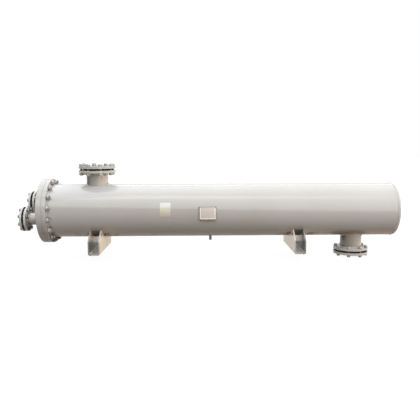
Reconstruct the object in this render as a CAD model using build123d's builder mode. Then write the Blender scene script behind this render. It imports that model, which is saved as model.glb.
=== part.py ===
import os
from dataclasses import dataclass
from math import cos, radians, sin, sqrt

from build123d import *

os.makedirs("parts", exist_ok=True)


@dataclass
class FlangeSize:
    outer_d: float
    thickness: float
    bolt_circle_d: float
    hole_d: float
    face_d: float
    pipe_d: float
    pipe_wall: float
    pipe_clearance: float

    @property
    def bore(self):
        return self.pipe_d + 2 * self.pipe_clearance


# Vessel: the origin is under the fixed saddle, with the axis above it along X
axis_height = 308.0
shell_d = 406.4
shell_wall = 9.5
end_plate_thickness = 16.0
end_plate_chamfer = 4.0
face_to_saddle = 415.0
face_to_rear = 2700.0

# Bolted joint at the channel end
body_flange_d = 490.0
cover_thickness = 40.0
cover_recess_depth = 22.0
pass_rib_width = 12.0
gasket_to_bolts = 2.0
cover_gasket_width = 24.0
cover_gasket_thickness = 2.0
tube_sheet_thickness = 28.0
body_bolt_to_rim = 20.0
body_bolt_count = 16
body_hole_d = 22.0
tapped_hole_d = 17.5
tapped_hole_depth = 30.0
rim_chamfer = 1.5

# Tube bundle: each tube goes out and returns through a half-turn bend
tube_d = 31.8
tube_bore = 26.8
tube_row_inner = 45.0
tube_row_pitch = 60.0
tube_row_count = 2
tube_column_pitch = 60.0
tube_column_count = 5
tube_field_radius = 168.0
tube_hole_clearance = 0.3
bend_to_end_plate = 50.0

# Flanges of the shell nozzles and of the tube nozzles
raised_face = 3.0
nozzle_gasket_thickness = 8.0
gasket_inner_margin = 3.0
slip_on_recess = 6.0
flange_bolt_count = 8

# Shell nozzles: both have the same pipe, and the flanges of the lower one are smaller
large_pipe_d = 165.2
large_pipe_wall = 7.1
large_pipe_clearance = 0.7
large_flange_d = 280.0
large_flange_thickness = 22.0
large_bolt_circle_d = 240.0
large_bolt_hole_d = 23.0
large_raised_face_d = 212.0
outlet_flange_d = 265.0
outlet_flange_thickness = 22.0
outlet_bolt_circle_d = 230.0
outlet_bolt_hole_d = 19.0
outlet_raised_face_d = 206.0
face_to_top_nozzle = 410.0
rear_to_bottom_nozzle = 312.0
top_nozzle_reach = 313.0
bottom_nozzle_reach = 319.0
nozzle_hole_clearance = 0.5

# Tube nozzles on the channel cover
small_pipe_d = 89.1
small_pipe_wall = 5.5
small_pipe_clearance = 0.45
small_flange_d = 185.0
small_flange_thickness = 18.0
small_bolt_circle_d = 150.0
small_bolt_hole_d = 19.0
small_raised_face_d = 126.0
tube_nozzle_reach = 108.5
tube_nozzle_radius = 117.0
tube_nozzle_tilt = 25.0

# Saddles, each bent from one plate
rear_to_right_saddle = 760.0
saddle_width = 88.0
saddle_length = 480.0
saddle_plate = 10.0
saddle_bend = 14.0
saddle_shoulder_height = 102.0
saddle_top_half = 156.0
saddle_to_shell_gap = 0.3
anchor_spacing = 360.0
anchor_hole_d = 22.0
anchor_slot_travel = 24.0

# Drain under the shell
face_to_drain = 1278.0
drain_d = 21.7
drain_bore = 16.1
drain_length = 35.0

# Bracket that carries the nameplate
face_to_bracket = 1254.0
bracket_width = 124.0
bracket_height = 95.0
bracket_sheet = 3.0
bracket_standoff = 17.0
bracket_corner = 5.0
bracket_to_shell_gap = 0.3

# Places and sizes worked out from those above
large_flange = FlangeSize(
    outer_d=large_flange_d,
    thickness=large_flange_thickness,
    bolt_circle_d=large_bolt_circle_d,
    hole_d=large_bolt_hole_d,
    face_d=large_raised_face_d,
    pipe_d=large_pipe_d,
    pipe_wall=large_pipe_wall,
    pipe_clearance=large_pipe_clearance,
)
outlet_flange = FlangeSize(
    outer_d=outlet_flange_d,
    thickness=outlet_flange_thickness,
    bolt_circle_d=outlet_bolt_circle_d,
    hole_d=outlet_bolt_hole_d,
    face_d=outlet_raised_face_d,
    pipe_d=large_pipe_d,
    pipe_wall=large_pipe_wall,
    pipe_clearance=large_pipe_clearance,
)
small_flange = FlangeSize(
    outer_d=small_flange_d,
    thickness=small_flange_thickness,
    bolt_circle_d=small_bolt_circle_d,
    hole_d=small_bolt_hole_d,
    face_d=small_raised_face_d,
    pipe_d=small_pipe_d,
    pipe_wall=small_pipe_wall,
    pipe_clearance=small_pipe_clearance,
)
body_bolt_circle_r = body_flange_d / 2 - body_bolt_to_rim
cover_gasket_r = body_bolt_circle_r - body_hole_d / 2 - gasket_to_bolts
cover_recess_r = cover_gasket_r - cover_gasket_width
shell_r = shell_d / 2
shell_bore_r = shell_r - shell_wall
cover_face_x = -face_to_saddle
gasket_x = cover_face_x + cover_thickness
tube_sheet_x = gasket_x + cover_gasket_thickness
shell_start_x = tube_sheet_x + tube_sheet_thickness
rear_face_x = cover_face_x + face_to_rear
shell_end_x = rear_face_x - end_plate_thickness
top_nozzle_x = cover_face_x + face_to_top_nozzle
bottom_nozzle_x = rear_face_x - rear_to_bottom_nozzle
right_saddle_x = rear_face_x - rear_to_right_saddle
drain_x = cover_face_x + face_to_drain
bracket_x = cover_face_x + face_to_bracket
bend_x = shell_end_x - bend_to_end_plate - tube_field_radius


def section(x, turn=0.0):
    # Plane across the vessel, turned about its axis, with its normal along X
    across = (0, cos(radians(turn)), sin(radians(turn)))
    return Plane(origin=(x, 0, axis_height), x_dir=across, z_dir=(1, 0, 0))


def save(part, name):
    part.label = name
    export_step(part, f"parts/{name}.step")


def vessel_core(radius):
    # Solid round bar on the vessel axis, used to trim what meets the shell
    with BuildPart() as core:
        with BuildSketch(section(cover_face_x)):
            Circle(radius)
        extrude(amount=face_to_rear)
    return core.part


def build_flange(face, size):
    # Slip-on flange with its raised face on the plane and its disc behind it
    with BuildPart() as flange:
        with BuildSketch(face.offset(-raised_face)):
            Circle(size.outer_d / 2)
        extrude(amount=raised_face - size.thickness)
        chamfer(flange.edges(), length=rim_chamfer)
        with BuildSketch(face):
            Circle(size.face_d / 2)
        extrude(amount=-raised_face)
        with BuildSketch(face):
            Circle(size.bore / 2)
            with PolarLocations(size.bolt_circle_d / 2, flange_bolt_count, 180 / flange_bolt_count):
                Circle(size.hole_d / 2)
        extrude(amount=-size.thickness, mode=Mode.SUBTRACT)
    return flange.part


def build_gasket(face, size):
    # Flat ring between two raised faces
    with BuildPart() as gasket:
        with BuildSketch(face):
            Circle(size.face_d / 2)
            Circle(size.bore / 2 + gasket_inner_margin, mode=Mode.SUBTRACT)
        extrude(amount=nozzle_gasket_thickness)
    return gasket.part


def build_neck(face, size, length):
    # Pipe that starts just inside its flange and runs down from the raised face
    with BuildPart() as neck:
        with BuildSketch(face.offset(-slip_on_recess)):
            Circle(size.pipe_d / 2)
            Circle(size.pipe_d / 2 - size.pipe_wall, mode=Mode.SUBTRACT)
        extrude(amount=slip_on_recess - length)
    return neck.part


def save_nozzle(name, face, size, neck):
    # The companion flange faces back at the nozzle flange across the gasket
    mating_face = Plane(
        origin=face.offset(nozzle_gasket_thickness).origin,
        x_dir=face.x_dir,
        z_dir=-face.z_dir,
    )
    save(neck, f"{name}_neck")
    save(build_flange(face, size), f"{name}_flange")
    save(build_gasket(face, size), f"{name}_gasket")
    save(build_flange(mating_face, size), f"{name}_companion_flange")


top_face = Plane(
    origin=(top_nozzle_x, 0, axis_height + top_nozzle_reach),
    x_dir=(1, 0, 0),
    z_dir=(0, 0, 1),
)
bottom_face = Plane(
    origin=(bottom_nozzle_x, 0, axis_height - bottom_nozzle_reach),
    x_dir=(1, 0, 0),
    z_dir=(0, 0, -1),
)


def tube_nozzle_face(side):
    # Side is 1 for the upper nozzle and -1 for the lower one across the axis
    across = side * tube_nozzle_radius * cos(radians(tube_nozzle_tilt))
    up = side * tube_nozzle_radius * sin(radians(tube_nozzle_tilt))
    return Plane(
        origin=(cover_face_x - tube_nozzle_reach, across, axis_height + up),
        x_dir=(0, 1, 0),
        z_dir=(-1, 0, 0),
    )


# Tube centres on the outgoing side, as (across the rib, along the rib)
tube_centres = []
for row in range(tube_row_count):
    for column in range(tube_column_count):
        across = tube_row_inner + row * tube_row_pitch
        along = (column - (tube_column_count - 1) / 2) * tube_column_pitch
        if sqrt(across**2 + along**2) + tube_d / 2 <= tube_field_radius:
            tube_centres.append((across, along))
return_centres = [(-across, along) for across, along in tube_centres]

# Shell with its two nozzle openings and the drain opening
with BuildPart() as shell:
    with BuildSketch(section(shell_start_x)):
        Circle(shell_r)
        Circle(shell_bore_r, mode=Mode.SUBTRACT)
    extrude(amount=shell_end_x - shell_start_x)
    for face, reach in ((top_face, top_nozzle_reach), (bottom_face, bottom_nozzle_reach)):
        with BuildSketch(face):
            Circle(large_pipe_d / 2 + nozzle_hole_clearance)
        extrude(amount=-reach, mode=Mode.SUBTRACT)
    with BuildSketch(Plane(origin=(drain_x, 0, axis_height), z_dir=(0, 0, -1))):
        Circle(drain_d / 2 + nozzle_hole_clearance)
    extrude(amount=shell_d, mode=Mode.SUBTRACT)
save(shell.part, "shell")

# Flat plate that closes the far end
with BuildPart() as rear_end_plate:
    with BuildSketch(section(shell_end_x)):
        Circle(shell_r)
    extrude(amount=end_plate_thickness)
    chamfer(rear_end_plate.edges().sort_by(Axis.X)[-1], length=end_plate_chamfer)
save(rear_end_plate.part, "rear_end_plate")

# Tube sheet, which is also the flange at the end of the shell
with BuildPart() as tube_sheet:
    with BuildSketch(section(tube_sheet_x)):
        Circle(body_flange_d / 2)
    extrude(amount=tube_sheet_thickness)
    chamfer(tube_sheet.edges(), length=rim_chamfer)
    with BuildSketch(section(tube_sheet_x)):
        with PolarLocations(body_bolt_circle_r, body_bolt_count, 180 / body_bolt_count):
            Circle(body_hole_d / 2)
    extrude(amount=tube_sheet_thickness, mode=Mode.SUBTRACT)
    with BuildSketch(section(tube_sheet_x, tube_nozzle_tilt)):
        with Locations(tube_centres + return_centres):
            Circle(tube_d / 2 + tube_hole_clearance)
    extrude(amount=tube_sheet_thickness, mode=Mode.SUBTRACT)
save(tube_sheet.part, "tube_sheet")

# Hairpin tubes with their open ends flush in the tube sheet
with BuildPart() as tube_bundle:
    with BuildSketch(section(tube_sheet_x, tube_nozzle_tilt)):
        with Locations(tube_centres + return_centres):
            Circle(tube_d / 2)
            Circle(tube_bore / 2, mode=Mode.SUBTRACT)
    extrude(amount=bend_x - tube_sheet_x)
    bend_plane = section(bend_x, tube_nozzle_tilt)
    with BuildSketch(bend_plane):
        with Locations(tube_centres):
            Circle(tube_d / 2)
            Circle(tube_bore / 2, mode=Mode.SUBTRACT)
    revolve(axis=Axis(bend_plane.origin, -bend_plane.y_dir), revolution_arc=180)
save(tube_bundle.part, "tube_bundle")

# Cover gasket with a bar under the pass rib
with BuildPart() as cover_gasket:
    with BuildSketch(section(gasket_x, tube_nozzle_tilt)):
        Circle(cover_gasket_r)
        Circle(cover_recess_r, mode=Mode.SUBTRACT)
        Rectangle(pass_rib_width, 2 * cover_recess_r)
    extrude(amount=cover_gasket_thickness)
save(cover_gasket.part, "cover_gasket")

# Channel cover, hollowed behind its face and parted by the pass rib
with BuildPart() as channel_cover:
    with BuildSketch(section(cover_face_x)):
        Circle(body_flange_d / 2)
    extrude(amount=cover_thickness)
    chamfer(channel_cover.edges(), length=rim_chamfer)
    with BuildSketch(section(gasket_x, tube_nozzle_tilt)):
        Circle(cover_recess_r)
        Rectangle(pass_rib_width, 2 * cover_recess_r, mode=Mode.SUBTRACT)
    extrude(amount=-cover_recess_depth, mode=Mode.SUBTRACT)
    with BuildSketch(section(gasket_x)):
        with PolarLocations(body_bolt_circle_r, body_bolt_count, 180 / body_bolt_count):
            Circle(tapped_hole_d / 2)
    extrude(amount=-tapped_hole_depth, mode=Mode.SUBTRACT)
    for side in (1, -1):
        with BuildSketch(tube_nozzle_face(side)):
            Circle(small_flange.pipe_d / 2 + nozzle_hole_clearance)
        extrude(amount=-(tube_nozzle_reach + cover_thickness), mode=Mode.SUBTRACT)
save(channel_cover.part, "channel_cover")

# Shell nozzles, with the necks cut flush inside the shell
pipe = build_neck(top_face, large_flange, top_nozzle_reach)
save_nozzle("top_nozzle", top_face, large_flange, pipe - vessel_core(shell_bore_r))
pipe = build_neck(bottom_face, outlet_flange, bottom_nozzle_reach)
save_nozzle("bottom_nozzle", bottom_face, outlet_flange, pipe - vessel_core(shell_bore_r))

# Tube nozzles, with the necks flush inside the cover
tube_neck_length = tube_nozzle_reach + cover_thickness - cover_recess_depth
for name, side in (("upper_tube_nozzle", 1), ("lower_tube_nozzle", -1)):
    face = tube_nozzle_face(side)
    save_nozzle(name, face, small_flange, build_neck(face, small_flange, tube_neck_length))


def build_saddle(x, slot_travel):
    # One plate bent to a channel, with both webs cut to cradle the shell
    base = Plane(origin=(x, 0, 0), x_dir=(1, 0, 0), z_dir=(0, -1, 0))
    side = Plane(origin=(x, 0, 0), x_dir=(0, 1, 0), z_dir=(1, 0, 0))
    top_height = axis_height - sqrt(shell_r**2 - saddle_top_half**2)
    with BuildPart() as saddle:
        with BuildSketch(base) as channel:
            with Locations((0, axis_height / 2)):
                Rectangle(saddle_width, axis_height)
            lower_corners = channel.vertices().group_by(Axis.Z)[0]
            fillet(lower_corners, radius=saddle_bend)
            with Locations((0, saddle_plate + axis_height / 2)):
                RectangleRounded(
                    saddle_width - 2 * saddle_plate,
                    axis_height,
                    radius=saddle_bend - saddle_plate,
                    mode=Mode.SUBTRACT,
                )
        extrude(amount=saddle_length / 2, both=True)
        with BuildSketch(side):
            with BuildLine():
                Polyline(
                    (-saddle_length / 2, 0),
                    (saddle_length / 2, 0),
                    (saddle_length / 2, saddle_shoulder_height),
                    (saddle_top_half, top_height),
                    (-saddle_top_half, top_height),
                    (-saddle_length / 2, saddle_shoulder_height),
                    close=True,
                )
            make_face()
        extrude(amount=saddle_width / 2, both=True, mode=Mode.INTERSECT)
        with BuildSketch(section(x)):
            Circle(shell_r + saddle_to_shell_gap)
        extrude(amount=saddle_width / 2, both=True, mode=Mode.SUBTRACT)
        with BuildSketch(Plane.XY.offset(saddle_plate)):
            with Locations((x, anchor_spacing / 2), (x, -anchor_spacing / 2)):
                if slot_travel > 0:
                    SlotCenterToCenter(slot_travel, anchor_hole_d)
                else:
                    Circle(anchor_hole_d / 2)
        extrude(amount=-saddle_plate, mode=Mode.SUBTRACT)
    return saddle.part


save(build_saddle(0, 0), "left_saddle")
save(build_saddle(right_saddle_x, anchor_slot_travel), "right_saddle")

# Drain stub, cut flush inside the shell
with BuildPart() as drain_stub:
    with BuildSketch(Plane(origin=(drain_x, 0, axis_height), z_dir=(0, 0, -1))):
        Circle(drain_d / 2)
        Circle(drain_bore / 2, mode=Mode.SUBTRACT)
    extrude(amount=shell_r + drain_length)
save(drain_stub.part - vessel_core(shell_bore_r), "drain_stub")

# Nameplate bracket: a sheet bent back at both ends, with its legs on the shell
bracket_face_y = -(shell_r + bracket_standoff)
with BuildPart() as nameplate_bracket:
    with BuildSketch(Plane.XY.offset(axis_height)):
        with Locations((bracket_x, bracket_face_y / 2)):
            Rectangle(bracket_width, -bracket_face_y)
        with Locations((bracket_x, bracket_face_y / 2 + bracket_sheet)):
            Rectangle(bracket_width - 2 * bracket_sheet, -bracket_face_y, mode=Mode.SUBTRACT)
    extrude(amount=bracket_height / 2, both=True)
    front_corners = nameplate_bracket.edges().filter_by(Axis.Z).group_by(Axis.Y)[0]
    fillet(front_corners, radius=bracket_corner)
save(
    nameplate_bracket.part - vessel_core(shell_r + bracket_to_shell_gap),
    "nameplate_bracket",
)
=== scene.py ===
import random
from math import atan2, cos, hypot, pi, radians, sin, sqrt, tan, tau

import bmesh
import bpy
from mathutils import Matrix, Vector


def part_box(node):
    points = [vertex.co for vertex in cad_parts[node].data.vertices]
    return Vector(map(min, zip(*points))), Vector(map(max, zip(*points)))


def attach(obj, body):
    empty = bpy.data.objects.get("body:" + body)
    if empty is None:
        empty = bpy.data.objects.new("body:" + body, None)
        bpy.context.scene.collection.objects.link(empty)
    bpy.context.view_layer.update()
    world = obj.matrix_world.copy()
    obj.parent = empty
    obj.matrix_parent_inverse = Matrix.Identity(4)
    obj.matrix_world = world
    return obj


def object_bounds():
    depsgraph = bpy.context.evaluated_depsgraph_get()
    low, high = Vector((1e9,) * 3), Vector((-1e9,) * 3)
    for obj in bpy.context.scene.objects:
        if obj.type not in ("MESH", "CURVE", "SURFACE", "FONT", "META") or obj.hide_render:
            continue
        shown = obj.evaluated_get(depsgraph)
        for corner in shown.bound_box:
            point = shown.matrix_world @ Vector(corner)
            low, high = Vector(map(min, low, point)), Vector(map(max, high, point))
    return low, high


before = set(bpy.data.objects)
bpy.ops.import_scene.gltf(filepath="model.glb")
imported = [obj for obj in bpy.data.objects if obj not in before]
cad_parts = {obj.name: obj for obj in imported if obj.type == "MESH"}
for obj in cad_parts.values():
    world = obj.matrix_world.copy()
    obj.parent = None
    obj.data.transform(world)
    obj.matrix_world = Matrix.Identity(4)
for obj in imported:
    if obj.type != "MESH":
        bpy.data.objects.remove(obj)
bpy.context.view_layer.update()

dice = random.Random(11)

# Places and directions that the pieces below are worked out from
shellLow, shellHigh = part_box("shell")
shellRadius = (shellHigh.z - shellLow.z) / 2
axisHeight = (shellHigh.z + shellLow.z) / 2
shellEnd = shellHigh.x
sheetLow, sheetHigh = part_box("tube_sheet")
sheetRadius = (sheetHigh.z - sheetLow.z) / 2
bracketLow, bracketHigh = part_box("nameplate_bracket")
alongShell = Vector((1, 0, 0))
acrossShell = Vector((0, 1, 0))
upwards = Vector((0, 0, 1))
print(f"frame: shell radius {shellRadius:.4f} m, axis at {axisHeight:.4f} m")


def onAxis(x):
    return Vector((x, 0, axisHeight))


# The middle of a box's face on the side that a direction points to
def faceOf(low, high, way):
    return (low + high) / 2 + way * abs((high - low).dot(way)) / 2


def boreOf(node, axis, radius):
    low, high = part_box(node)
    return {"centre": (low + high) / 2, "axis": axis, "radius": radius}


# Helpers for the node trees

def addNode(tree, kind, inputs=None, **options):
    made = tree.nodes.new(kind)
    for option, value in options.items():
        setattr(made, option, value)
    for socket, value in (inputs or {}).items():
        if isinstance(value, bpy.types.NodeSocket):
            tree.links.new(value, made.inputs[socket])
        else:
            made.inputs[socket].default_value = value
    return made


def startMaterial(name, **sockets):
    material = bpy.data.materials.new(name)
    material.use_nodes = True
    shader = material.node_tree.nodes["Principled BSDF"]
    for socket, value in sockets.items():
        shader.inputs[socket.replace("_", " ")].default_value = value
    return material, material.node_tree, shader


def calc(tree, operation, first, second=0.0, clamp=False):
    terms = {0: first, 1: second}
    return addNode(tree, "ShaderNodeMath", terms, operation=operation, use_clamp=clamp).outputs[0]


def times(tree, *factors):
    product = factors[0]
    for factor in factors[1:]:
        product = calc(tree, "MULTIPLY", product, factor)
    return product


def rougher(tree, roughness, where, extra):
    return calc(tree, "ADD", roughness, times(tree, where, extra), clamp=True)


def spread(tree, value, low, high, toLow=0.0, toHigh=1.0):
    made = addNode(tree, "ShaderNodeMapRange", {0: value, 1: low, 2: high, 3: toLow, 4: toHigh})
    return made.outputs[0]


def mixColours(tree, amount, first, second):
    made = addNode(tree, "ShaderNodeMix", {0: amount, 6: first, 7: second}, data_type="RGBA")
    return made.outputs[2]


def objectPlace(tree):
    return addNode(tree, "ShaderNodeTexCoord").outputs["Object"]


def surfaceNormal(tree):
    return addNode(tree, "ShaderNodeNewGeometry").outputs["Normal"]


def moved(tree, place, centre):
    return addNode(tree, "ShaderNodeMapping", {"Vector": place, "Location": [-c for c in centre]}).outputs[0]


def xyz(tree, vector):
    return list(addNode(tree, "ShaderNodeSeparateXYZ", {0: vector}).outputs)


def cloud(tree, place, scale, detail=3.0, stretch=(1, 1, 1)):
    spot = addNode(tree, "ShaderNodeMapping", {"Vector": place, "Scale": stretch}).outputs[0]
    return addNode(tree, "ShaderNodeTexNoise", {"Vector": spot, "Scale": scale, "Detail": detail}).outputs[0]


def addRelief(tree, shader, height, depth, strength):
    bump = addNode(tree, "ShaderNodeBump", {"Height": height, "Distance": depth, "Strength": strength})
    tree.links.new(bump.outputs[0], shader.inputs["Normal"])


def layFinish(tree, shader, colour, roughness):
    tree.links.new(colour, shader.inputs["Base Color"])
    tree.links.new(roughness, shader.inputs["Roughness"])


# The tree, shader, colour and roughness of a finish, for the layers that go over it
def laidSoFar(material):
    tree = material.node_tree
    shader = tree.nodes["Principled BSDF"]
    colour = shader.inputs["Base Color"].links[0].from_socket
    roughness = shader.inputs["Roughness"].links[0].from_socket
    return tree, shader, colour, roughness


def tone(red, green, blue):
    return (red, green, blue, 1)


# Distance of each point from a line through the centre, for what lies inside a bore
def fromAxis(tree, place, centre, axis):
    parts = xyz(tree, moved(tree, place, centre))
    first, second = [parts[i] for i in range(3) if i != "XYZ".index(axis)]
    squares = calc(tree, "ADD", times(tree, first, first), times(tree, second, second))
    return calc(tree, "SQRT", squares)


# Gloss enamel: warm light grey, with clouding, dust on top, worn edges, grime and painted shade in corners,
# and orange peel; some finishes add painted shade towards the bottom or on one side
enamelLook = {
    "paint": tone(0.565, 0.558, 0.534),
    "paintShade": tone(0.53, 0.515, 0.483),
    "cloudScale": 2.6,
    "roughness": (0.1, 0.16),
    "coatRoughness": 0.03,
    "dust": tone(0.62, 0.6, 0.56),
    "dustMost": 0.2,
    "dustRough": 0.2,
    "edge": tone(0.7, 0.69, 0.66),
    "edgeMost": 0.6,
    "wornRadius": 0.0016,
    "grimeAndShade": tone(0.085, 0.075, 0.06),
    "grimeAndShadeReach": 0.022,
    "grimeAndShadeRough": 0.35,
    "shadeBelowThinnest": 0.75,
    "shadeBelowRough": 0.45,
    "bareSteel": tone(0.09, 0.07, 0.055),
    "millScale": tone(0.17, 0.1, 0.06),
    "boreSkin": 0.0004,
    "boreRough": 0.4,
    "peelScale": 420.0,
    "peel": {"depth": 0.0002, "strength": 0.05},
}


def enamel(name, paint=None, shade=None, bore=None, grimeAndShade=0.85, shadeBelow=None, shadeOneSide=False, coat=0.5):
    look = enamelLook
    material, tree, shader = startMaterial(
        name, IOR=1.5, Coat_Weight=coat, Coat_Roughness=look["coatRoughness"]
    )
    place = objectPlace(tree)
    normal = surfaceNormal(tree)
    facing = xyz(tree, normal)
    clouding = cloud(tree, place, look["cloudScale"], 4)
    if shadeOneSide:
        # Painted shade on the side that looks towards the channel end, and painted light on the side away
        # from it
        sideShade = spread(tree, facing[0], 0.95, -0.75)
        shading = calc(tree, "ADD", sideShade, spread(tree, clouding, 0.3, 0.7, -0.1, 0.1), clamp=True)
    else:
        shading = spread(tree, clouding, 0.35, 0.7)
    colour = mixColours(tree, shading, paint or look["paint"], shade or look["paintShade"])

    # Dust on what faces up
    grains = spread(tree, cloud(tree, place, 38, 8), 0.45, 0.75, 0, look["dustMost"])
    dusty = times(tree, spread(tree, facing[2], 0.75, 1), grains)
    colour = mixColours(tree, dusty, colour, look["dust"])

    # Wear where a rounded normal turns away from the flat one
    rounded = addNode(tree, "ShaderNodeBevel", {"Radius": look["wornRadius"]}, samples=4).outputs[0]
    turned = addNode(tree, "ShaderNodeVectorMath", {0: rounded, 1: normal}, operation="DOT_PRODUCT")
    rubbed = spread(tree, cloud(tree, place, 55, 6), 0.4, 0.62)
    worn = times(tree, spread(tree, turned.outputs["Value"], 0.97, 0.8), rubbed, look["edgeMost"])
    colour = mixColours(tree, worn, colour, look["edge"])

    # Grime and painted shade in the corners, darker where other surfaces are near
    nearness = addNode(tree, "ShaderNodeAmbientOcclusion", {"Distance": look["grimeAndShadeReach"]}, samples=6)
    clotted = spread(tree, cloud(tree, place, 48, 6), 0.3, 0.6, 0.55, 1)
    darkened = times(tree, spread(tree, nearness.outputs["AO"], 0.85, 0.4), clotted)
    colour = mixColours(tree, times(tree, darkened, grimeAndShade), colour, look["grimeAndShade"])

    roughness = spread(tree, cloud(tree, place, 9, 5), 0.3, 0.7, *look["roughness"])
    if shadeBelow:
        # Painted shade low down: darker and browner, thicker by the square of the way down
        low = spread(tree, xyz(tree, place)[2], shadeBelow["top"], shadeBelow["bottom"])
        thinnest = shadeBelow.get("thinnest", look["shadeBelowThinnest"])
        shadedBelow = times(tree, low, low, spread(tree, cloud(tree, place, 26, 6), 0.3, 0.6, thinnest, 1))
        colour = mixColours(tree, times(tree, shadedBelow, shadeBelow["amount"]), colour, shadeBelow["colour"])
        roughness = rougher(tree, roughness, shadedBelow, look["shadeBelowRough"])
    roughness = rougher(tree, roughness, dusty, look["dustRough"])
    roughness = rougher(tree, roughness, darkened, look["grimeAndShadeRough"])
    if bore:
        # Bare and scaly inside the pipe
        distance = fromAxis(tree, place, bore["centre"], bore["axis"])
        inside = spread(tree, distance, bore["radius"] + look["boreSkin"], bore["radius"])
        scaly = spread(tree, cloud(tree, place, 30, 8), 0.4, 0.62)
        bare = mixColours(tree, scaly, look["bareSteel"], look["millScale"])
        colour = mixColours(tree, inside, colour, bare)
        roughness = rougher(tree, roughness, inside, look["boreRough"])
    layFinish(tree, shader, colour, roughness)
    addRelief(tree, shader, cloud(tree, place, look["peelScale"], 2), **look["peel"])
    return material


# Compressed gasket sheet: near black, flecked with fibres
gasketLook = {
    "sheet": tone(0.018, 0.018, 0.018),
    "fleck": tone(0.05, 0.047, 0.042),
    "fibreScale": 260,
    "relief": {"depth": 0.0003, "strength": 0.4},
}


def gasketSheet():
    look = gasketLook
    material, tree, shader = startMaterial("gasketSheet", IOR=1.5)
    fibres = cloud(tree, objectPlace(tree), look["fibreScale"], 6, (1, 1, 2.5))
    colour = mixColours(tree, spread(tree, fibres, 0.5, 0.68), look["sheet"], look["fleck"])
    layFinish(tree, shader, colour, spread(tree, fibres, 0.3, 0.7, 0.75, 0.9))
    addRelief(tree, shader, fibres, **look["relief"])
    return material


# Drawn steel: of the tubes, with lines along X, and of the zinc plated bolting
steelLook = {
    "tubeSteel": {
        "bright": tone(0.28, 0.22, 0.18), "dark": tone(0.12, 0.09, 0.07),
        "roughness": (0.3, 0.5), "stretch": (0.02, 1, 1), "scale": 220,
    },
    "zincSteel": {
        "bright": tone(0.3, 0.31, 0.32), "dark": tone(0.05, 0.052, 0.055),
        "roughness": (0.2, 0.42), "stretch": (1, 1, 1), "scale": 160,
    },
    "relief": {"depth": 0.0002, "strength": 0.2},
}


def drawnSteel(name):
    look = steelLook[name]
    material, tree, shader = startMaterial(name, Metallic=1.0)
    place = objectPlace(tree)
    lines = cloud(tree, place, look["scale"], 6, look["stretch"])
    patches = cloud(tree, place, look["scale"] * 0.2, 4)
    colour = mixColours(tree, spread(tree, patches, 0.35, 0.65), look["bright"], look["dark"])
    layFinish(tree, shader, colour, spread(tree, lines, 0.3, 0.7, *look["roughness"]))
    addRelief(tree, shader, lines, **steelLook["relief"])
    return material


# Enamel over a weld: the same paint, over scalloped ripples that follow the bead's own map
beadLook = {"ripplePitch": 0.0035, "rippleBow": 1.8, "ripple": {"depth": 0.0012, "strength": 0.8}}


def paintedBead():
    look = beadLook
    material = enamel("paintedBead")
    tree = material.node_tree
    beadMap = addNode(tree, "ShaderNodeUVMap", uv_map="bead").outputs[0]
    along, up, _ = xyz(tree, beadMap)
    across = calc(tree, "SUBTRACT", up, 0.5)
    bow = times(tree, across, across, look["rippleBow"])
    steps = calc(tree, "ADD", calc(tree, "DIVIDE", along, look["ripplePitch"]), bow)
    ripple = calc(tree, "PINGPONG", steps, 0.5)
    addRelief(tree, tree.nodes["Principled BSDF"], ripple, **look["ripple"])
    return material


# Saddle enamel: painted warm reflection in tan on the outward faces, painted shade on the inward faces with
# a patch of painted warm light, and a painted highlight along the inner bend
saddleLook = {
    "paint": tone(0.56, 0.55, 0.52),
    "paintShade": tone(0.5, 0.48, 0.45),
    "outer": tone(1.0, 0.77, 0.36),
    "reflectionPatch": tone(1.0, 0.6, 0.23),
    "outerRough": 0.16,
    "inner": tone(0.12, 0.125, 0.112),
    "innerRough": 0.22,
    "paintedWarmLight": tone(1.0, 0.72, 0.47),
    "warmLightFrom": (0.048, 0.07),
    "warmLightRagged": 0.012,
    "warmLightSlope": 0.183,
    "warmLightFade": 0.03,
    "bendHighlight": tone(0.78, 0.76, 0.72),
    "bendHighlightMost": 0.9,
    "bendHighlightFade": 0.003,
    "skin": 0.0004,
    "plate": 0.01,
    "bend": 0.008,
    "farEdge": tone(0.215, 0.205, 0.19),
    "farEdgeMost": 0.85,
    "farEdgeFrom": 0.02,
}


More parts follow.
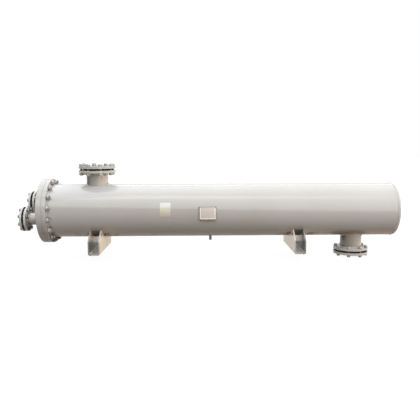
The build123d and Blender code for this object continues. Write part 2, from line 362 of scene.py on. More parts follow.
def saddleEnamel(name, node, farSide, warmLightEnd):
    look = saddleLook
    low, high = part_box(node)
    middleX = (low.x + high.x) / 2
    material = enamel(name, look["paint"], look["paintShade"])
    tree, shader, colour, roughness = laidSoFar(material)
    place = objectPlace(tree)
    x, y, z = xyz(tree, place)
    facing = xyz(tree, surfaceNormal(tree))
    offset = calc(tree, "SUBTRACT", x, middleX)
    outward = times(tree, facing[0], calc(tree, "SIGN", offset))
    outer = spread(tree, outward, 0.4, 0.9)
    inner = spread(tree, outward, -0.4, -0.9)

    # Painted warm reflection: tan with orange patches on the faces that look outwards
    paintedLightMask = times(tree, outer, spread(tree, cloud(tree, place, 24, 8), 0.25, 0.5, 0.9, 1))
    patches = spread(tree, cloud(tree, place, 13, 6), 0.5, 0.64)
    colour = mixColours(tree, paintedLightMask, colour, mixColours(tree, patches, look["outer"], look["reflectionPatch"]))
    # Painted shade on the faces that look inwards
    darkened = times(tree, inner, spread(tree, cloud(tree, place, 20, 6), 0.3, 0.6, 0.8, 1))
    colour = mixColours(tree, darkened, colour, look["inner"])

    # A patch of painted warm light on the inward faces comes down from the cradle to a ragged line that
    # slants across the vessel
    ragged = spread(tree, cloud(tree, place, 22, 5), 0.3, 0.7, -look["warmLightRagged"], look["warmLightRagged"])
    line = calc(tree, "ADD", calc(tree, "ADD", z, ragged), times(tree, y, look["warmLightSlope"]))
    below = spread(tree, line, *look["warmLightFrom"])
    beyond = spread(tree, y, warmLightEnd - look["warmLightFade"], warmLightEnd + look["warmLightFade"])
    thin = spread(tree, cloud(tree, place, 16, 5), 0.25, 0.4, 0.5, 1)
    colour = mixColours(tree, times(tree, inner, below, beyond, thin), colour, look["paintedWarmLight"])

    # A painted highlight, pale, lies along the bend between the base and each web
    webFace = (high.x - low.x) / 2 - look["plate"]
    bendFrom = webFace - look["bend"]
    bendTop = look["plate"] + look["bend"]
    fromMiddle = calc(tree, "ABSOLUTE", offset)
    byWeb = spread(tree, fromMiddle, bendFrom, bendFrom + look["bendHighlightFade"])
    inWeb = calc(tree, "LESS_THAN", fromMiddle, webFace + look["skin"])
    byBase = spread(tree, z, bendTop + look["bendHighlightFade"], bendTop)
    overBase = calc(tree, "GREATER_THAN", z, look["plate"] - look["skin"])
    bendHighlight = times(tree, byWeb, inWeb, byBase, overBase, look["bendHighlightMost"])
    colour = mixColours(tree, bendHighlight, colour, look["bendHighlight"])

    # The ends of the web that stands further from the middle of the vessel are darker
    further = calc(tree, "GREATER_THAN", times(tree, x, farSide), middleX * farSide + look["farEdgeFrom"])
    ends = spread(tree, calc(tree, "ABSOLUTE", facing[1]), 0.3, 0.5)
    colour = mixColours(tree, times(tree, ends, further, look["farEdgeMost"]), colour, look["farEdge"])
    roughness = rougher(tree, roughness, paintedLightMask, look["outerRough"])
    layFinish(tree, shader, colour, rougher(tree, roughness, inner, look["innerRough"]))
    return material


# Flange enamel: the two faces that look at each other across the gasket are bare steel, painted near black
# as painted shade in the gap
flangeLook = {
    "bare": tone(0.035, 0.03, 0.026),
    "barePatch": tone(0.08, 0.055, 0.04),
    "bareRough": 0.45,
    "pastGasket": 0.0032,
}


def flangeEnamel(nozzle, axis, paint, shade):
    look = flangeLook
    low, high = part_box(f"{nozzle}_gasket")
    index = "XYZ".index(axis)
    middle = (low[index] + high[index]) / 2
    reach = (high[index] - low[index]) / 2 + look["pastGasket"]
    material = enamel(f"{nozzle}Flange", paint, shade)
    tree, shader, colour, roughness = laidSoFar(material)
    place = objectPlace(tree)
    fromGasket = calc(tree, "ABSOLUTE", calc(tree, "SUBTRACT", xyz(tree, place)[index], middle))
    # Painted shade in the gap: the facing faces are made near black
    inGap = calc(tree, "LESS_THAN", fromGasket, reach)
    patches = spread(tree, cloud(tree, place, 60, 6), 0.4, 0.6)
    colour = mixColours(tree, inGap, colour, mixColours(tree, patches, look["bare"], look["barePatch"]))
    layFinish(tree, shader, colour, rougher(tree, roughness, inGap, look["bareRough"]))
    return material


# Shell enamel: a painted bluish highlight on top towards the channel, painted shade below, a painted warm
# reflection low at the closed end, painted shade in rust brown beside each saddle and painted shade between
# its webs
shellLook = {
    "wall": 0.0095,
    "coat": 0.22,
    "shadeBelow": {"top": 0.245, "bottom": 0.105, "amount": 0.8, "colour": tone(0.3, 0.2, 0.115)},
    "topHighlight": tone(0.64, 0.652, 0.668),
    "topHighlightMost": 0.7,
    "topHighlightAlong": (1.6, -0.2),
    "topHighlightHeight": (0.36, 0.46),
    "endReflection": tone(0.52, 0.25, 0.12),
    "endReflectionMost": 0.62,
    "endReflectionReach": (0.42, 0.05),
    "endReflectionHeight": (0.185, 0.125),
    "shadeBesideSaddle": tone(0.16, 0.075, 0.035),
    "shadeBesideSaddleMost": 0.9,
    "besideSaddleRough": 0.4,
    "besideSaddleReach": (0.2, 0.07),
    "besideSaddleHeight": (0.158, 0.142),
    "shadeBetweenWebs": tone(0.15, 0.155, 0.165),
    "betweenMost": 0.9,
    "betweenReach": (0.045, 0.034),
    "betweenHeight": (0.178, 0.164),
}


def shellEnamel():
    look = shellLook
    bore = boreOf("shell", "X", shellRadius - look["wall"])
    material = enamel("shellEnamel", bore=bore, shadeBelow=look["shadeBelow"], coat=look["coat"])
    tree, shader, colour, roughness = laidSoFar(material)
    place = objectPlace(tree)
    x, _, z = xyz(tree, place)
    # Painted highlight, pale and bluish, on top towards the channel end
    topHighlightAlong = spread(tree, x, *look["topHighlightAlong"])
    highlighted = times(tree, topHighlightAlong, spread(tree, z, *look["topHighlightHeight"]), look["topHighlightMost"])
    colour = mixColours(tree, highlighted, colour, look["topHighlight"])

    # Painted warm reflection low down near the closed end
    reflectionFrom, reflectionFull = look["endReflectionReach"]
    nearEnd = spread(tree, x, shellEnd - reflectionFrom, shellEnd - reflectionFull)
    reflectedAtEnd = times(tree, nearEnd, spread(tree, z, *look["endReflectionHeight"]), look["endReflectionMost"])
    colour = mixColours(tree, reflectedAtEnd, colour, look["endReflection"])

    nearSaddle = 0.0
    withinWebs = 0.0
    for saddle in ("left_saddle", "right_saddle"):
        low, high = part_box(saddle)
        away = calc(tree, "ABSOLUTE", calc(tree, "SUBTRACT", x, (low.x + high.x) / 2))
        nearSaddle = calc(tree, "MAXIMUM", nearSaddle, spread(tree, away, *look["besideSaddleReach"]))
        withinWebs = calc(tree, "MAXIMUM", withinWebs, spread(tree, away, *look["betweenReach"]))
    # Painted shade in rust brown, in runs, low down beside each saddle
    runs = spread(tree, cloud(tree, place, 14, 6, (2.2, 1, 0.6)), 0.4, 0.55)
    paintedLightMask = times(tree, spread(tree, z, *look["besideSaddleHeight"]), runs, nearSaddle)
    colour = mixColours(tree, times(tree, paintedLightMask, look["shadeBesideSaddleMost"]), colour, look["shadeBesideSaddle"])
    # Painted shade on the shell between the webs of each saddle
    shadedBetween = times(tree, spread(tree, z, *look["betweenHeight"]), withinWebs, look["betweenMost"])
    colour = mixColours(tree, shadedBetween, colour, look["shadeBetweenWebs"])
    layFinish(tree, shader, colour, rougher(tree, roughness, paintedLightMask, look["besideSaddleRough"]))
    return material


# The finishes, some with painted shade low down
plateShadeBelow = {"top": 0.4, "bottom": 0.065, "amount": 0.95, "thinnest": 0.4, "colour": tone(0.2, 0.125, 0.06)}
boltShadeBelow = {"top": 0.19, "bottom": 0.09, "amount": 0.95, "colour": tone(0.11, 0.085, 0.065)}
neckShadeBelow = {"top": 0.301, "bottom": 0.222, "amount": 0.92, "colour": tone(0.15, 0.125, 0.11)}
boltTones = (tone(0.56, 0.56, 0.53), tone(0.46, 0.46, 0.42))
shellPaint = shellEnamel()
platePaint = enamel(
    "plateEnamel", tone(0.61, 0.613, 0.607), tone(0.57, 0.568, 0.55), shadeBelow=plateShadeBelow, coat=0.2
)
leftSaddlePaint = saddleEnamel("leftSaddleEnamel", "left_saddle", -1, -0.4)
rightSaddlePaint = saddleEnamel("rightSaddleEnamel", "right_saddle", 1, -0.14)
jointPaint = enamel("jointEnamel", tone(0.52, 0.51, 0.48), tone(0.46, 0.45, 0.42), grimeAndShade=0.3, shadeBelow=plateShadeBelow)
boltPaint = enamel("boltEnamel", *boltTones, grimeAndShade=0.6)
channelBoltPaint = enamel("channelBoltEnamel", *boltTones, grimeAndShade=0.7, shadeBelow=boltShadeBelow)
trimPaint = enamel("trimEnamel", tone(0.3, 0.28, 0.25), tone(0.26, 0.24, 0.21))
beadPaint = paintedBead()
gasketBlack = gasketSheet()
tubeSteel = drawnSteel("tubeSteel")
zincSteel = drawnSteel("zincSteel")

# Nozzles: outer and bore radius of each pipe, the legs of its welds, and the tones of neck and flanges
# The tones are lit and shaded copies of one grey enamel, painted light and shade: the upright necks are
# painted lit on one side and shaded on the other, and the lower tube neck has painted shade towards its
# bottom
largePipe = {"axis": "Z", "outer": 0.0826, "bore": 0.0755, "flangeLeg": 0.007, "footLeg": 0.007}
smallPipe = {"axis": "X", "outer": 0.04455, "bore": 0.03905, "flangeLeg": 0.005, "footLeg": 0.006}
nozzles = {
    "top_nozzle": dict(
        largePipe, way=upwards,
        paint=tone(0.66, 0.6, 0.51), shade=tone(0.25, 0.245, 0.225),
        flangePaint=tone(0.56, 0.555, 0.51), flangeShade=tone(0.47, 0.47, 0.43),
    ),
    "bottom_nozzle": dict(
        largePipe, way=-upwards,
        paint=tone(0.56, 0.5, 0.435), shade=tone(0.2, 0.185, 0.155),
        flangePaint=tone(0.56, 0.545, 0.52), flangeShade=tone(0.48, 0.47, 0.44),
    ),
    "upper_tube_nozzle": dict(
        smallPipe, way=-alongShell,
        paint=tone(0.5, 0.48, 0.46), shade=tone(0.42, 0.4, 0.38),
        flangePaint=tone(0.7, 0.69, 0.67), flangeShade=tone(0.6, 0.59, 0.56),
    ),
    "lower_tube_nozzle": dict(
        smallPipe, way=-alongShell, shadeBelow=neckShadeBelow,
        paint=tone(0.74, 0.7, 0.67), shade=tone(0.6, 0.56, 0.53),
        flangePaint=tone(0.7, 0.69, 0.67), flangeShade=tone(0.6, 0.59, 0.56),
    ),
}

nodePaint = {
    "shell": shellPaint,
    "rear_end_plate": platePaint,
    "tube_sheet": platePaint,
    "channel_cover": platePaint,
    "tube_bundle": tubeSteel,
    "cover_gasket": jointPaint,
    "left_saddle": leftSaddlePaint,
    "right_saddle": rightSaddlePaint,
    "drain_stub": trimPaint,
    "nameplate_bracket": trimPaint,
}
for nozzle, facts in nozzles.items():
    neckBore = boreOf(f"{nozzle}_neck", facts["axis"], facts["bore"])
    neckPaint = enamel(
        f"{nozzle}Neck", facts["paint"], facts["shade"], neckBore,
        shadeBelow=facts.get("shadeBelow"), shadeOneSide=facts["axis"] == "Z",
    )
    flangePaint = flangeEnamel(nozzle, facts["axis"], facts["flangePaint"], facts["flangeShade"])
    nodePaint[f"{nozzle}_neck"] = neckPaint
    nodePaint[f"{nozzle}_flange"] = flangePaint
    nodePaint[f"{nozzle}_companion_flange"] = flangePaint
    nodePaint[f"{nozzle}_gasket"] = gasketBlack

for nodeName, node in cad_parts.items():
    node.data.materials.clear()
    node.data.materials.append(nodePaint[nodeName])
print("materials")


# Mesh helpers
sharpAngle = 38


def turnTo(centre, axis, across):
    third = axis.cross(across)
    turn = Matrix((across, third, axis)).transposed().to_4x4()
    return Matrix.Translation(centre) @ turn


def finishPiece(bm, name, material):
    bmesh.ops.remove_doubles(bm, verts=bm.verts, dist=1e-6)
    bmesh.ops.recalc_face_normals(bm, faces=bm.faces)
    mesh = bpy.data.meshes.new(name)
    bm.to_mesh(mesh)
    bm.free()
    mesh.materials.append(material)
    mesh.shade_smooth()
    mesh.set_sharp_from_angle(angle=radians(sharpAngle))
    piece = bpy.data.objects.new(name, mesh)
    bpy.context.scene.collection.objects.link(piece)
    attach(piece, "root")


def addCopy(bm, source, place):
    mesh = bpy.data.meshes.new("part")
    source.to_mesh(mesh)
    mesh.transform(place)
    bm.from_mesh(mesh)
    bpy.data.meshes.remove(mesh)


# Studs with a cut thread and hexagon nuts
threadSteps = 14
threadDepth = 0.6
nutCorner = 0.11
nutEdge = 0.012


def threadedRod(radius, pitch, start, end):
    rod = bmesh.new()
    root = radius - threadDepth * pitch
    turns = int((end - start) / pitch) + 3
    base = start - pitch
    outline = [
        rod.verts.new((radius, 0, base)),
        rod.verts.new((root, 0, base + pitch * 0.5)),
        rod.verts.new((radius, 0, base + pitch * 0.92)),
        rod.verts.new((radius, 0, base + pitch)),
    ]
    edges = [rod.edges.new(pair) for pair in zip(outline, outline[1:])]
    bmesh.ops.spin(
        rod, geom=outline + edges, cent=(0, 0, 0), axis=(0, 0, 1), dvec=(0, 0, pitch / threadSteps),
        angle=tau * turns, steps=threadSteps * turns, use_merge=False,
    )
    bmesh.ops.remove_doubles(rod, verts=rod.verts, dist=pitch * 0.02)
    for height, side in ((start, -1), (end, 1)):
        bmesh.ops.bisect_plane(
            rod, geom=rod.verts[:] + rod.edges[:] + rod.faces[:], dist=1e-7,
            plane_co=(0, 0, height), plane_no=(0, 0, side), clear_outer=True,
        )
    bmesh.ops.holes_fill(rod, edges=[e for e in rod.edges if e.is_boundary], sides=0)
    bmesh.ops.recalc_face_normals(rod, faces=rod.faces)
    return rod


def hexNut(acrossFlats, height):
    nut = bmesh.new()
    corner = acrossFlats / sqrt(3)
    bmesh.ops.create_cone(nut, cap_ends=True, segments=6, radius1=corner, radius2=corner, depth=height)
    bmesh.ops.translate(nut, verts=nut.verts, vec=(0, 0, height / 2))
    bmesh.ops.bevel(
        nut, geom=nut.verts[:], offset=acrossFlats * nutCorner, segments=1, profile=0.5,
        affect="VERTICES", material=-1,
    )
    bmesh.ops.bevel(
        nut, geom=nut.edges[:], offset=acrossFlats * nutEdge, segments=1, profile=0.5,
        affect="EDGES", material=-1,
    )
    return nut


def boltRing(name, bolts):
    ring = bmesh.new()
    rod = threadedRod(bolts["studRadius"], bolts["pitch"], bolts["studStart"], bolts["studEnd"])
    nut = hexNut(bolts["acrossFlats"], bolts["nutHeight"])
    base = turnTo(bolts["centre"], bolts["axis"], acrossShell)
    circle = bolts["circle"]
    for number in range(bolts["count"]):
        angle = tau * (number + 0.5) / bolts["count"]
        spot = base @ Matrix.Translation((circle * cos(angle), circle * sin(angle), 0))
        slip = dice.uniform(-bolts["slip"], bolts["slip"])
        turn = Matrix.Rotation(dice.uniform(0, tau), 4, "Z")
        addCopy(ring, rod, spot @ Matrix.Translation((0, 0, slip)) @ turn)
        for seat, way in bolts["nuts"]:
            flip = Matrix.Rotation(pi if way < 0 else 0, 4, "X")
            turn = Matrix.Rotation(dice.uniform(0, tau), 4, "Z")
            addCopy(ring, nut, spot @ Matrix.Translation((0, 0, seat)) @ flip @ turn)
    rod.free()
    nut.free()
    finishPiece(ring, name, bolts["steel"])


# Channel joint: studs screwed into the cover, with a nut on the shell side of each
channelBolts = {
    "centre": onAxis(sheetHigh.x),
    "axis": alongShell,
    "circle": sheetRadius - 0.020,
    "count": 16,
    "studRadius": 0.0099,
    "pitch": 0.0025,
    "studStart": -0.024,
    "studEnd": 0.028,
    "slip": 0.002,
    "acrossFlats": 0.030,
    "nutHeight": 0.018,
    "nuts": [(0.0, 1)],
    "steel": channelBoltPaint,
    "slot": "grey_enamel",
}
boltRing("channel_studs_and_nuts", channelBolts)

# Studs through each flange pair, measured outwards from the nozzle flange's back
inletBolts = {
    "circle": 0.120, "count": 8, "studRadius": 0.0099, "pitch": 0.0025, "slip": 0.001,
    "standOut": 0.0185, "acrossFlats": 0.030, "nutHeight": 0.016, "steel": boltPaint, "slot": "grey_enamel",
}
outletBolts = {
    "circle": 0.115, "count": 8, "studRadius": 0.0079, "pitch": 0.002, "slip": 0.001,
    "standOut": 0.0155, "acrossFlats": 0.024, "nutHeight": 0.013, "steel": boltPaint, "slot": "grey_enamel",
}
tubeBolts = dict(outletBolts, circle=0.075, steel=zincSteel, slot="tube_steel")
flangeBolts = {
    "top_nozzle": inletBolts,
    "bottom_nozzle": outletBolts,
    "upper_tube_nozzle": tubeBolts,
    "lower_tube_nozzle": tubeBolts,
}
for nozzle, facts in nozzles.items():
    low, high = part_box(f"{nozzle}_flange")
    farLow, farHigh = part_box(f"{nozzle}_companion_flange")
    way = facts["way"]
    facts["back"] = faceOf(low, high, -way)
    grip = (faceOf(farLow, farHigh, way) - facts["back"]).length
    bolts = flangeBolts[nozzle]
    boltRing(f"{nozzle}_studs_and_nuts", dict(
        bolts, centre=facts["back"], axis=way, studStart=-bolts["standOut"],
        studEnd=grip + bolts["standOut"], nuts=[(0.0, -1), (grip, 1)],
    ))
print("studs and nuts")


# Weld beads: a section spun about its own axis, with a map that runs along it.
# The rounded face of a fillet is given in shares of its leg, out from the pipe and along it.
filletFace = [(0.93, 0.18), (0.62, 0.62), (0.18, 0.93)]
beadDefaults = {"sink": 0.0006, "arc": tau, "start": 0.0, "step": 0.006, "wobble": 0.00006}


def weldBead(name, facts):
    bead = dict(beadDefaults, **facts)
    bm = bmesh.new()
    radius = bead["radius"]
    leg = bead["leg"]
    sink = bead["sink"]
    if "cap" in bead:
        # A low cap over a butt joint, as wide as twice its leg
        cap = bead["cap"]
        profile = [(-sink, -leg), (cap * 0.5, -leg * 0.6), (cap, 0), (cap * 0.5, leg * 0.6), (-sink, leg)]
    else:
        face = [(leg * out, leg * along) for out, along in filletFace]
        profile = [(-sink, -sink), (leg, -sink), *face, (-sink, leg)]
    outline = [bm.verts.new((radius + out, 0, along)) for out, along in profile]
    edges = [bm.edges.new(pair) for pair in zip(outline, outline[1:] + outline[:1])]
    bmesh.ops.rotate(bm, verts=bm.verts, cent=(0, 0, 0), matrix=Matrix.Rotation(bead["start"], 3, "Z"))
    closed = bead["arc"] > tau - 0.001
    bmesh.ops.spin(
        bm, geom=outline + edges, cent=(0, 0, 0), axis=(0, 0, 1), angle=bead["arc"],
        steps=max(8, int(radius * bead["arc"] / bead["step"])), use_merge=closed,
    )
    if not closed:
        bmesh.ops.holes_fill(bm, edges=[e for e in bm.edges if e.is_boundary], sides=0)
    bm.normal_update()
    beadMap = bm.loops.layers.uv.new("bead")
    for face in bm.faces:
        middle = face.calc_center_median()
        centreAngle = atan2(middle.y, middle.x)
        for loop in face.loops:
            point = loop.vert.co
            swing = (atan2(point.y, point.x) - centreAngle + pi) % tau - pi
            loop[beadMap].uv = ((centreAngle + swing) * radius, (hypot(point.x, point.y) - radius) / leg)
    for vert in bm.verts:
        vert.co *= 1 + dice.uniform(-bead["wobble"], bead["wobble"]) / radius
    if "lieOn" in bead:
        # The ring is let down on the round of the shell, across its axis
        for vert in bm.verts:
            offset = min(abs(vert.co.y), bead["lieOn"])
            vert.co.z += sqrt(bead["lieOn"] ** 2 - offset ** 2) - bead["lieOn"]
    place = turnTo(bead["centre"], bead["axis"], bead["across"])
    bmesh.ops.transform(bm, matrix=place, verts=bm.verts)
    finishPiece(bm, name, bead.get("paint", beadPaint))


weldBead("tube_sheet_weld", {
    "centre": onAxis(sheetHigh.x), "axis": alongShell, "across": acrossShell,
    "radius": shellRadius, "leg": 0.008,
})
weldBead("end_plate_weld", {
    "centre": onAxis(shellEnd), "axis": alongShell, "across": acrossShell,
    "radius": shellRadius, "leg": 0.0055, "cap": 0.0026,
})

# The thin seam of paint over the joint between the two discs
jointLow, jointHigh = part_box("cover_gasket")
weldBead("cover_joint_paint", {
    "centre": onAxis((jointLow.x + jointHigh.x) / 2), "axis": alongShell, "across": acrossShell,
    "radius": sheetRadius - 0.0012, "leg": 0.0014, "cap": 0.0006, "wobble": 0.000015, "paint": jointPaint,
})

# Each neck is welded to the back of its flange, and at its foot to the cover or on the round of the shell
for nozzle, facts in nozzles.items():
    back = facts["back"]
    way = facts["way"]
    weldBead(f"{nozzle}_flange_weld", {
        "centre": back, "axis": -way, "across": acrossShell,
        "radius": facts["outer"], "leg": facts["flangeLeg"],
    })
    foot = {"axis": way, "radius": facts["outer"], "leg": facts["footLeg"]}
    if facts["axis"] == "X":
        foot["centre"] = Vector((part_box("channel_cover")[0].x, back.y, back.z))
        foot["across"] = acrossShell
    else:
        foot["centre"] = onAxis(back.x) + way * shellRadius
        foot["across"] = alongShell
        foot["lieOn"] = shellRadius
    weldBead(f"{nozzle}_foot_weld", foot)

drainLow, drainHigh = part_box("drain_stub")
weldBead("drain_weld", {
    "centre": onAxis((drainLow.x + drainHigh.x) / 2) - upwards * shellRadius,
    "axis": -upwards, "across": alongShell, "radius": (drainHigh.x - drainLow.x) / 2, "leg": 0.004,
    "lieOn": shellRadius, "step": 0.003,
})


# Two fillets on the round of the shell, one along each end face of a node, centred on a direction
def endFillets(node, low, high, middle, halfArc, facts):
    for side, edge, way in (("left", low.x, -1), ("right", high.x, 1)):
        weldBead(f"{node}_{side}_weld", dict(
            facts, centre=onAxis(edge), axis=alongShell * way, across=middle,
            radius=shellRadius, start=-halfArc, arc=2 * halfArc,
        ))


cradleHalfWidth = 0.156
cradleArc = atan2(cradleHalfWidth, sqrt(shellRadius ** 2 - cradleHalfWidth ** 2)) - radians(1)
for saddle in ("left_saddle", "right_saddle"):
    low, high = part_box(saddle)
    endFillets(saddle, low, high, -upwards, cradleArc, {"leg": 0.007})
bracketArc = atan2((bracketHigh.z - bracketLow.z) / 2, shellRadius)
bracketFillet = {"leg": 0.003, "step": 0.004}
endFillets("nameplate_bracket", bracketLow, bracketHigh, -acrossShell, bracketArc, bracketFillet)
print("weld beads")


# Bare nameplate: a thin etched plate with a bright border, on four rivets
nameplate = {
    "width": 0.116,
    "height": 0.088,
    "thickness": 0.0012,
    "corner": 0.002,
    "edgeRound": 0.0003,
    "border": 0.0065,
    "rivetRadius": 0.0022,
    "rivetFlatness": 0.55,
    "rivetInset": 0.0045,
    "rules": 7,
    "ruleHalfWidth": 0.0004,
    "etching": {"depth": 0.0002, "strength": 0.6},
    "borderTone": tone(0.86, 0.81, 0.75),
    "borderTopTone": tone(0.5, 0.48, 0.45),
    "fieldTone": tone(0.55, 0.505, 0.465),
    "brushedTone": tone(0.4, 0.35, 0.32),
    "ruleTone": tone(0.16, 0.14, 0.13),
}


def etchedPlate():
    look = nameplate
    material, tree, shader = startMaterial("etchedPlate", Metallic=0.75)
    place = objectPlace(tree)
    x, _, z = xyz(tree, moved(tree, place, (bracketLow + bracketHigh) / 2))
    fieldX = look["width"] / 2 - look["border"]
    fieldZ = look["height"] / 2 - look["border"]
    inX = calc(tree, "LESS_THAN", calc(tree, "ABSOLUTE", x), fieldX)
    inZ = calc(tree, "LESS_THAN", calc(tree, "ABSOLUTE", z), fieldZ)
    field = times(tree, inX, inZ)
    fromRule = calc(tree, "PINGPONG", calc(tree, "ADD", z, fieldZ), fieldZ / look["rules"])
    ruled = times(tree, calc(tree, "LESS_THAN", fromRule, look["ruleHalfWidth"]), field)
    brushed = cloud(tree, place, 500, 4, (0.04, 1, 1))
    topEdge = spread(tree, z, fieldZ * 0.96, fieldZ)
    border = mixColours(tree, topEdge, look["borderTone"], look["borderTopTone"])
    colour = mixColours(tree, field, border, look["fieldTone"])
    colour = mixColours(tree, spread(tree, brushed, 0.3, 0.7, 0, 0.25), colour, look["brushedTone"])
    colour = mixColours(tree, times(tree, ruled, 0.7), colour, look["ruleTone"])
    matte = calc(tree, "ADD", times(tree, field, 0.22), spread(tree, brushed, 0.3, 0.7, 0.28, 0.4))
    layFinish(tree, shader, colour, matte)
    etched = calc(tree, "SUBTRACT", times(tree, brushed, 0.15), calc(tree, "ADD", field, ruled))
    addRelief(tree, shader, etched, **look["etching"])
    return material


def buildNameplate():
    look = nameplate
    centre = (bracketLow + bracketHigh) / 2
    bm = bmesh.new()
    bmesh.ops.create_cube(bm, size=1)
    bmesh.ops.scale(bm, verts=bm.verts, vec=(look["width"], look["thickness"], look["height"]))
    upright = [e for e in bm.edges if abs(e.verts[0].co.y - e.verts[1].co.y) > look["thickness"] / 2]
    bmesh.ops.bevel(
        bm, geom=upright, offset=look["corner"], segments=5, profile=0.5, affect="EDGES", material=-1
    )
    front = [e for e in bm.edges if all(v.co.y < 0 for v in e.verts)]
    bmesh.ops.bevel(
        bm, geom=front, offset=look["edgeRound"], segments=2, profile=0.5, affect="EDGES", material=-1
    )
    dome = bmesh.new()
    bmesh.ops.create_uvsphere(dome, u_segments=14, v_segments=8, radius=look["rivetRadius"])
    flatten = Matrix.Diagonal((1, look["rivetFlatness"], 1, 1))
    rivetX = look["width"] / 2 - look["rivetInset"]
    rivetZ = look["height"] / 2 - look["rivetInset"]
    for sideX in (-1, 1):
        for sideZ in (-1, 1):
            spot = Vector((sideX * rivetX, -look["thickness"] / 2, sideZ * rivetZ))
            addCopy(bm, dome, Matrix.Translation(spot) @ flatten)
    dome.free()
    bmesh.ops.translate(bm, verts=bm.verts, vec=(centre.x, bracketLow.y - look["thickness"] / 2, centre.z))
    finishPiece(bm, "nameplate", etchedPlate())


buildNameplate()

# Bare sticker: a film that follows the round of the shell, white above and cream below
sticker = {
    "left": 0.486,
    "right": 0.565,
    "bottom": 0.2805,
    "top": 0.385,
    "headShare": 0.33,
    "film": 0.0003,
    "standOff": 0.0001,
    "corner": 0.003,
    "head": tone(0.9, 0.9, 0.88),
    "cream": tone(0.88, 0.86, 0.76),
    "creamShade": tone(0.78, 0.75, 0.64),
    "foot": tone(0.66, 0.58, 0.48),
    "relief": {"depth": 0.0004, "strength": 0.25},
}


def stickerFilm():
    look = sticker
    material, tree, shader = startMaterial("stickerFilm", IOR=1.45, Coat_Weight=0.25, Coat_Roughness=0.2)
    place = objectPlace(tree)
    z = xyz(tree, place)[2]
    headLine = look["top"] - (look["top"] - look["bottom"]) * look["headShare"]
    head = calc(tree, "GREATER_THAN", z, headLine)
    mottle = cloud(tree, place, 45, 5)
    cream = mixColours(tree, spread(tree, mottle, 0.35, 0.65), look["cream"], look["creamShade"])
    cream = mixColours(tree, spread(tree, z, headLine, look["bottom"]), cream, look["foot"])
    colour = mixColours(tree, head, cream, look["head"])
    layFinish(tree, shader, colour, spread(tree, mottle, 0.3, 0.7, 0.42, 0.55))
    addRelief(tree, shader, mottle, **look["relief"])
    return material


def buildSticker():
    look = sticker
    width = look["right"] - look["left"]
    height = look["top"] - look["bottom"]
    bm = bmesh.new()
    bmesh.ops.create_grid(bm, x_segments=2, y_segments=24, size=0.5)
    bmesh.ops.scale(bm, verts=bm.verts, vec=(width, height, 1))
    corners = [v for v in bm.verts if abs(v.co.x) > width * 0.49 and abs(v.co.y) > height * 0.49]
    bmesh.ops.bevel(
        bm, geom=corners, offset=look["corner"], segments=4, profile=0.5, affect="VERTICES", material=-1
    )
    middleX = (look["left"] + look["right"]) / 2
    middleZ = (look["bottom"] + look["top"]) / 2
    radius = shellRadius + look["standOff"]
    for vert in bm.verts:
        up = middleZ + vert.co.y - axisHeight
        vert.co = (middleX + vert.co.x, -sqrt(radius ** 2 - up ** 2), axisHeight + up)
    bmesh.ops.recalc_face_normals(bm, faces=bm.faces)
    if sum(f.normal.y for f in bm.faces) > 0:
        bmesh.ops.reverse_faces(bm, faces=bm.faces)
    bmesh.ops.solidify(bm, geom=bm.faces[:], thickness=-look["film"])
    finishPiece(bm, "shell_sticker", stickerFilm())


buildSticker()
print("nameplate and sticker")


# Floor and world: both glow white to the camera and in reflections, and the floor keeps the shadow
stage = {
    "floorSize": 60.0,
    "floorMiddleX": 1.0,
    "floorDrop": 0.001,
    "floorRoughness": 0.9,
    "floorColour": tone(0.06, 0.06, 0.06),
    "bounceColour": tone(0.085, 0.05, 0.015),
    "glow": (0.93, 1.0),
    "glowAway": (0.7, 2.4),
    "white": tone(1, 1, 1),
    "worldLight": 0.05,
}


def seenPlainly(tree):
    path = addNode(tree, "ShaderNodeLightPath")
    seen = calc(tree, "MAXIMUM", path.outputs["Is Camera Ray"], path.outputs["Is Glossy Ray"])
    return path, calc(tree, "MAXIMUM", seen, path.outputs["Is Transmission Ray"])


def buildFloor(height):
    bm = bmesh.new()
    bmesh.ops.create_grid(bm, x_segments=1, y_segments=1, size=stage["floorSize"] / 2)
    bmesh.ops.translate(bm, verts=bm.verts, vec=(stage["floorMiddleX"], 0, height))
    mesh = bpy.data.meshes.new("floor")
    bm.to_mesh(mesh)
    bm.free()
    material, tree, shader = startMaterial("floorPaper", Roughness=stage["floorRoughness"])
    away = calc(tree, "ABSOLUTE", xyz(tree, objectPlace(tree))[1])
    glow = spread(tree, away, *stage["glowAway"], *stage["glow"])
    path, seen = seenPlainly(tree)
    tree.links.new(times(tree, seen, glow), shader.inputs["Emission Strength"])
    shader.inputs["Emission Color"].default_value = stage["white"]
    paper = mixColours(tree, path.outputs["Is Camera Ray"], stage["bounceColour"], stage["floorColour"])
    tree.links.new(paper, shader.inputs["Base Color"])
    mesh.materials.append(material)
    floor = bpy.data.objects.new("floor", mesh)
    bpy.context.scene.collection.objects.link(floor)


def buildWorld():
    world = bpy.data.worlds.new("studio")
    bpy.context.scene.world = world
    world.use_nodes = True
    tree = world.node_tree
    background = tree.nodes["Background"]
    background.inputs["Color"].default_value = stage["white"]
    path, seen = seenPlainly(tree)
    tree.links.new(spread(tree, seen, 0, 1, stage["worldLight"], 1.0), background.inputs["Strength"])


# Lamps: a large box in front, one off the closed end that isn't mirrored in the paint, and long strips
# overhead that lie round the shell, between two elevations in degrees
lamps = {
    "front": {
        "size": (8.6, 6.1), "power": 294, "place": (1.914, -4.595, 3.778),
        "aim": (1.514, 0.405, 0.978), "spin": -26,
    },
    "side": {
        "size": (2.6, 2.6), "power": 150, "place": (6.2, -0.4, 1.0),
        "aim": (0.6, 0, 0.3), "colour": (1, 0.93, 0.84), "mirrored": False,
    },
    "stripMiddleX": 1.1,
    "stripReach": 5.0,
    "stripLength": 10.0,
    "strips": [
        {"low": 54, "high": 78, "glow": 1.4, "spin": 0},
        {"low": 80, "high": 125, "glow": 1.5, "spin": -2},
        {"low": 128, "high": 147, "glow": 1.15, "spin": 0},
    ],
}


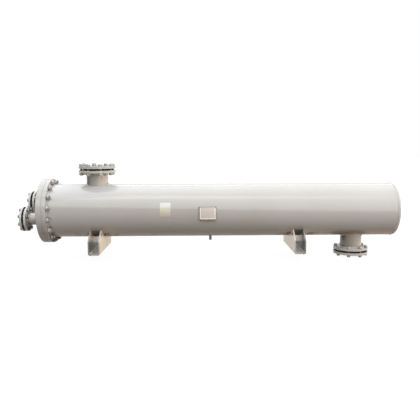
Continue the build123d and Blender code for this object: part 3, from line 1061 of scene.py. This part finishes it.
def addSoftbox(name, facts):
    lamp = bpy.data.lights.new(name, "AREA")
    lamp.shape = "RECTANGLE"
    lamp.size, lamp.size_y = facts["size"]
    lamp.energy = facts["power"]
    lamp.color = facts.get("colour", (1, 1, 1))
    box = bpy.data.objects.new(name, lamp)
    place = Vector(facts["place"])
    aim = (Vector(facts["aim"]) - place).to_track_quat("-Z", "Y").to_matrix().to_4x4()
    spin = Matrix.Rotation(radians(facts.get("spin", 0)), 4, "Z")
    box.matrix_world = Matrix.Translation(place) @ aim @ spin
    box.visible_camera = False
    box.visible_glossy = facts.get("mirrored", True)
    bpy.context.scene.collection.objects.link(box)


def addStrip(name, strip):
    middle = radians((strip["low"] + strip["high"]) / 2)
    reach = lamps["stripReach"]
    length = lamps["stripLength"]
    middleX = lamps["stripMiddleX"]
    width = 2 * reach * tan(radians(strip["high"] - strip["low"]) / 2)
    addSoftbox(name, {
        "size": (length, width), "power": strip["glow"] * pi * width * length,
        "place": (middleX, -reach * cos(middle), axisHeight + reach * sin(middle)),
        "aim": (middleX, 0, axisHeight), "spin": strip["spin"],
    })


cameraLook = {
    "location": (0.7773, -3.8009, 0.7901),
    "yaw": 0.022,
    "pitch": -0.127,
    "roll": -0.003,
    "sensor": 36,
    "focalPixels": 490.9,
    "framePixels": 420,
}


def buildCamera():
    look = cameraLook
    data = bpy.data.cameras.new("photoView")
    data.sensor_width = look["sensor"]
    data.lens = look["focalPixels"] / look["framePixels"] * look["sensor"]
    camera = bpy.data.objects.new("photoView", data)
    level = cos(look["pitch"])
    forward = Vector((sin(look["yaw"]) * level, cos(look["yaw"]) * level, sin(look["pitch"])))
    turn = forward.to_track_quat("-Z", "Y").to_matrix().to_4x4()
    camera.matrix_world = Matrix.Translation(look["location"]) @ turn @ Matrix.Rotation(look["roll"], 4, "Z")
    bpy.context.scene.collection.objects.link(camera)
    bpy.context.scene.camera = camera


modelLow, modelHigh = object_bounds()
buildFloor(modelLow.z - stage["floorDrop"])
buildWorld()
addSoftbox("frontSoftbox", lamps["front"])
addSoftbox("sideSoftbox", lamps["side"])
for number, strip in enumerate(lamps["strips"]):
    addStrip(f"stripSoftbox{number + 1}", strip)
buildCamera()
bpy.context.scene.view_settings.view_transform = "Standard"
print("stage and camera")
